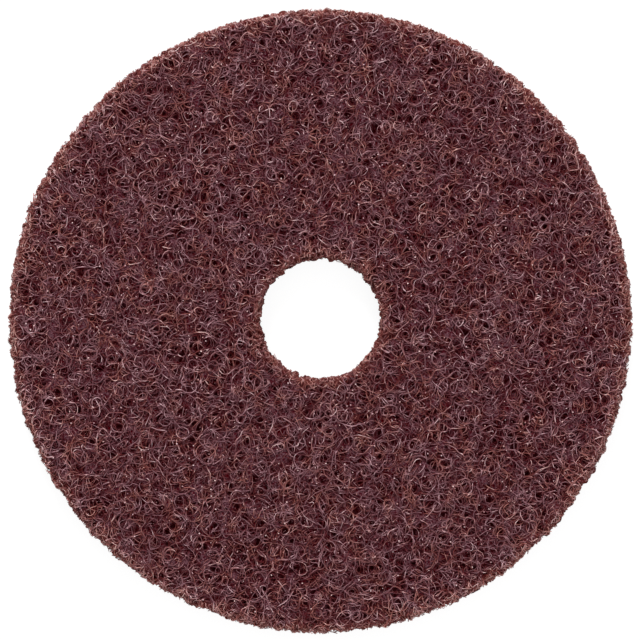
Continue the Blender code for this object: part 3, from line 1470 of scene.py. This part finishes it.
@dataclass
class Grains:
    """Grains of abrasive and beads of resin that sit on the fibres.

    Attributes:
        mat: The mat that they lie over.
        name: The piece's name.
        count: How many there are.
        small: Radius of the smallest.
        large: Radius of the largest.
        cube: Width of the cube that a grain is shaped from, in its radii.
        margin: Distance that they keep from the cuts.
        deepest: Greatest depth below the front face.
        painted_glint_share: Share of them painted nearly white, as glints.
        glint_depth: Greatest depth of those, as a share.
        powers: Powers that share out the sizes, for the painted glints and for the others.
        uneven: Range that pulls each corner of a grain in or out.
        glinting: Least and greatest tone of the painted glints.
        dull: Mean tone of the others.
        spread: Spread of it.
        most_tint: Place of the reddest.
        edge: Margin that their spots keep from the palette's edge.
        seed: Picks the grains.
    """

    mat: Mat
    name: str = "abrasive_grains"
    count: int = 13000
    small: float = 0.06 * MM
    large: float = 0.17 * MM
    cube: float = 1.5
    margin: float = 0.15 * MM
    deepest: float = 0.50 * MM
    painted_glint_share: float = 0.08
    glint_depth: float = 0.35
    powers: tuple[float, float] = (0.7, 2.0)
    uneven: Range = (0.7, 1.2)
    glinting: Range = (0.86, 1.0)
    dull: float = 0.60
    spread: float = 0.14
    most_tint: float = 0.7
    edge: float = 0.02
    seed: int = 61

    def grain(self) -> tuple[np.ndarray, np.ndarray]:
        """Models one grain, and returns its places and its triangles."""
        bpy.ops.object.select_all(action="DESELECT")
        bpy.ops.mesh.primitive_cube_add(size=self.cube)
        made = bpy.context.view_layer.objects.active
        made.data.calc_loop_triangles()
        places = np.array([point.co[:] for point in made.data.vertices])
        faces = np.array([face.vertices[:] for face in made.data.loop_triangles])
        bpy.data.objects.remove(made)
        return places, faces

    def build(self, finish: bpy.types.Material) -> bpy.types.Object:
        """Copies the grain all over the front face as one piece.

        Args:
            finish: The fibres' finish, whose palette the grains share.

        Returns:
            The finished piece.
        """
        rng = np.random.default_rng(self.seed)
        form = self.mat.form
        places, faces = self.grain()
        x, y = rng.uniform(-form.outer_radius, form.outer_radius, (2, 2 * self.count))
        inside = form.inside(x, y) > self.margin
        x, y = x[inside][: self.count], y[inside][: self.count]
        count = len(x)
        # Painted glints: a share of the grains lie near the top and are painted nearly white
        glinting = rng.uniform(0, 1, count) < self.painted_glint_share
        depth = rng.uniform(0, self.deepest, count) * np.where(glinting, self.glint_depth, 1)
        depth = np.minimum(depth, self.mat.under_map.at(x, y))
        middles = np.stack([x, y, self.mat.front_map.at(x, y) - depth], -1)
        share = rng.uniform(0, 1, (count, 1, 3)) ** np.where(glinting, *self.powers)[:, None, None]
        sizes = self.small + (self.large - self.small) * share
        shapes = places * sizes * rng.uniform(*self.uneven, (count, len(places), 1))
        turns = rng.uniform(0, 2 * math.pi, count)
        east, north = np.cos(turns)[:, None], np.sin(turns)[:, None]
        turned = np.stack([
            shapes[..., 0] * east - shapes[..., 1] * north,
            shapes[..., 0] * north + shapes[..., 1] * east,
            shapes[..., 2],
        ], -1)
        points = (turned + middles[:, None]).reshape(-1, 3)
        corners = (faces + len(places) * np.arange(count)[:, None, None]).reshape(-1, 3)
        mesh = bpy.data.meshes.new(self.name)
        mesh.from_pydata(points.tolist(), [], corners.tolist())
        grains = placed(self.name, mesh)
        tone = np.where(
            glinting, rng.uniform(*self.glinting, count), rng.normal(self.dull, self.spread, count)
        )
        tint = self.most_tint * rng.uniform(0, 1, count)
        middle = np.clip(np.stack([tone, tint], -1), self.edge, 1 - self.edge)
        spread = SPOT_ALONG * np.array([[-1.0, -1.0], [1.0, -1.0], [0.0, 1.0]])
        layer = mesh.uv_layers.new(name=BAKE_MAP)
        spots = np.repeat(middle, len(faces), axis=0)[:, None] + spread
        layer.uv.foreach_set("vector", spots.astype(np.float32).ravel())
        return wear(grains, finish)


@dataclass(frozen=True)
class Lamp:
    """A square lamp that points at the disc.

    Attributes:
        name: Its name.
        place: Where it hangs.
        size: Its width.
        level: What it adds to a white card that faces it at the disc's place.
    """

    name: str
    place: tuple[float, float, float]
    size: float
    level: float

    def build(self) -> None:
        """Adds the lamp."""
        place = Vector(self.place)
        data = bpy.data.lights.new(self.name, "AREA")
        data.shape = "SQUARE"
        data.size = self.size
        data.energy = self.level * math.pi**2 * place.length_squared
        lamp = placed(self.name, data)
        lamp.location = place
        lamp.rotation_euler = (-place).to_track_quat("-Z", "Y").to_euler()


@dataclass
class Studio:
    """A plain pale floor, soft lamps and a camera that looks straight down.

    Attributes:
        form: The disc's sizes.
        pixels: Width of the picture, in pixels.
        scale: Pixels for each metre of the front face.
        centre_down: Pixels by which the disc's middle lies below the picture's.
        centre_right: Pixels by which it lies right of it.
        height: Camera's height over the front face.
        sensor: Camera's sensor width, in mm.
        far: How far the camera sees.
        sky: Strength of the even light from all round.
        glow: Strength of the floor's own white, as the camera sees it.
        floor_size: Width of the floor.
        floor_grey: Its colour for the light that it throws back.
        floor_roughness: Its roughness.
        lamps: The soft lamp beyond the picture's top, and the weak one opposite.
    """

    form: DiscForm
    pixels: int = 640
    scale: float = 5410.0
    centre_down: float = 1.09
    centre_right: float = 0.33
    height: float = 1.1
    sensor: float = 36.0
    far: float = 10.0
    sky: float = 0.58
    glow: float = 0.88
    floor_size: float = 6.0
    floor_grey: float = 0.24
    floor_roughness: float = 0.9
    lamps: tuple[Lamp, ...] = (
        Lamp("key", (-0.15, 1.00, 0.60), size=0.45, level=0.73),
        Lamp("fill", (0.50, -0.60, 0.80), size=0.8, level=0.12),
    )

    def camera(self) -> None:
        """Adds the camera over the disc, with +Y at the picture's top."""
        data = bpy.data.cameras.new("camera")
        data.sensor_width = self.sensor
        data.lens = self.sensor * self.height / (self.pixels / self.scale)
        data.clip_end = self.far
        camera = placed("camera", data)
        camera.location = (
            -self.centre_right / self.scale,
            self.centre_down / self.scale,
            self.form.thickness + self.height,
        )
        bpy.context.scene.camera = camera

    def seen(self, tree: bpy.types.NodeTree, low: float, high: float) -> bpy.types.NodeSocket:
        """Adds a strength that is high where the camera or a reflection sees a surface.

        Args:
            tree: Where the nodes go.
            low: Strength for the light that falls on the disc.
            high: Strength for what is seen.

        Returns:
            The strength.
        """
        path = tree.nodes.new("ShaderNodeLightPath")
        share = path.outputs["Is Camera Ray"]
        for way in ("Is Glossy Ray", "Is Transmission Ray"):
            share = worked(tree, "MAXIMUM", share, path.outputs[way])
        return worked(tree, "MULTIPLY_ADD", share, high - low, low)

    def floor(self) -> None:
        """Adds a floor that looks white and keeps the disc's soft shadow."""
        bpy.ops.mesh.primitive_plane_add(size=self.floor_size)
        floor = bpy.context.view_layer.objects.active
        floor.name = "floor"
        material, tree, surface = new_material("pale_floor", self.floor_roughness, 0.0)
        surface.inputs["Base Color"].default_value = (*[self.floor_grey] * 3, 1)
        surface.inputs["Emission Color"].default_value = (1, 1, 1, 1)
        strength = self.seen(tree, 0.0, self.glow)
        tree.links.new(strength, surface.inputs["Emission Strength"])
        floor.data.materials.append(material)

    def build(self) -> None:
        """Sets up the whole studio."""
        scene = bpy.context.scene
        scene.view_settings.view_transform = "Standard"
        world = bpy.data.worlds.new("studio")
        world.use_nodes = True
        backdrop = world.node_tree.nodes["Background"]
        backdrop.inputs["Color"].default_value = (1, 1, 1, 1)
        strength = self.seen(world.node_tree, self.sky, 1.0)
        world.node_tree.links.new(strength, backdrop.inputs["Strength"])
        scene.world = world
        self.floor()
        for lamp in self.lamps:
            lamp.build()
        self.camera()


def fibre_layers(mat: Mat) -> list[CurledFibres]:
    """Sets out the layers of fibres on the front, the cuts and the back.

    Args:
        mat: The mat that they lie on.

    Returns:
        The layers, lowest first.
    """
    layers = [
        CurledFibres(
            name, Side.FRONT, mat, amount=amount, top=top * MM, bottom=bottom * MM,
            pale=0.875, depth_shade=1.10, hold=hold, seed=seed,
        )
        for name, amount, top, bottom, hold, seed in FRONT_LAYERS
    ]
    cuts = (("rim_fibres", Side.RIM, 0.57, 47), ("bore_fibres", Side.BORE, 0.64, 48))
    layers += [
        CurledFibres(
            name, side, mat, amount=5.0, top=-0.02 * MM, bottom=0.20 * MM,
            pale=pale, depth_shade=0.75, hold=0.0, seed=seed, weave=0.2 * MM,
        )
        for name, side, pale, seed in cuts
    ]
    layers.append(
        CurledFibres(
            "back_fibres", Side.BACK, mat, amount=2.4, top=0.09 * MM, bottom=0.34 * MM,
            pale=0.88, depth_shade=0.75, hold=0.0, seed=49, weave=0.10 * MM,
        )
    )
    return layers


def main() -> None:
    """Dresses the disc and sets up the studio."""
    logging.basicConfig(level=logging.INFO, format="%(asctime)s %(name)s %(message)s")
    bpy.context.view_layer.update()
    form = DiscForm()
    mat = Mat(form, Pockets(form))
    mat.build(MatFinish())
    fibre = FibreFinish().material()
    for piece in (*fibre_layers(mat), CutEnds(mat), Grains(mat)):
        piece.build(fibre)
    Studio(form).build()


if __name__ == "__main__":
    main()
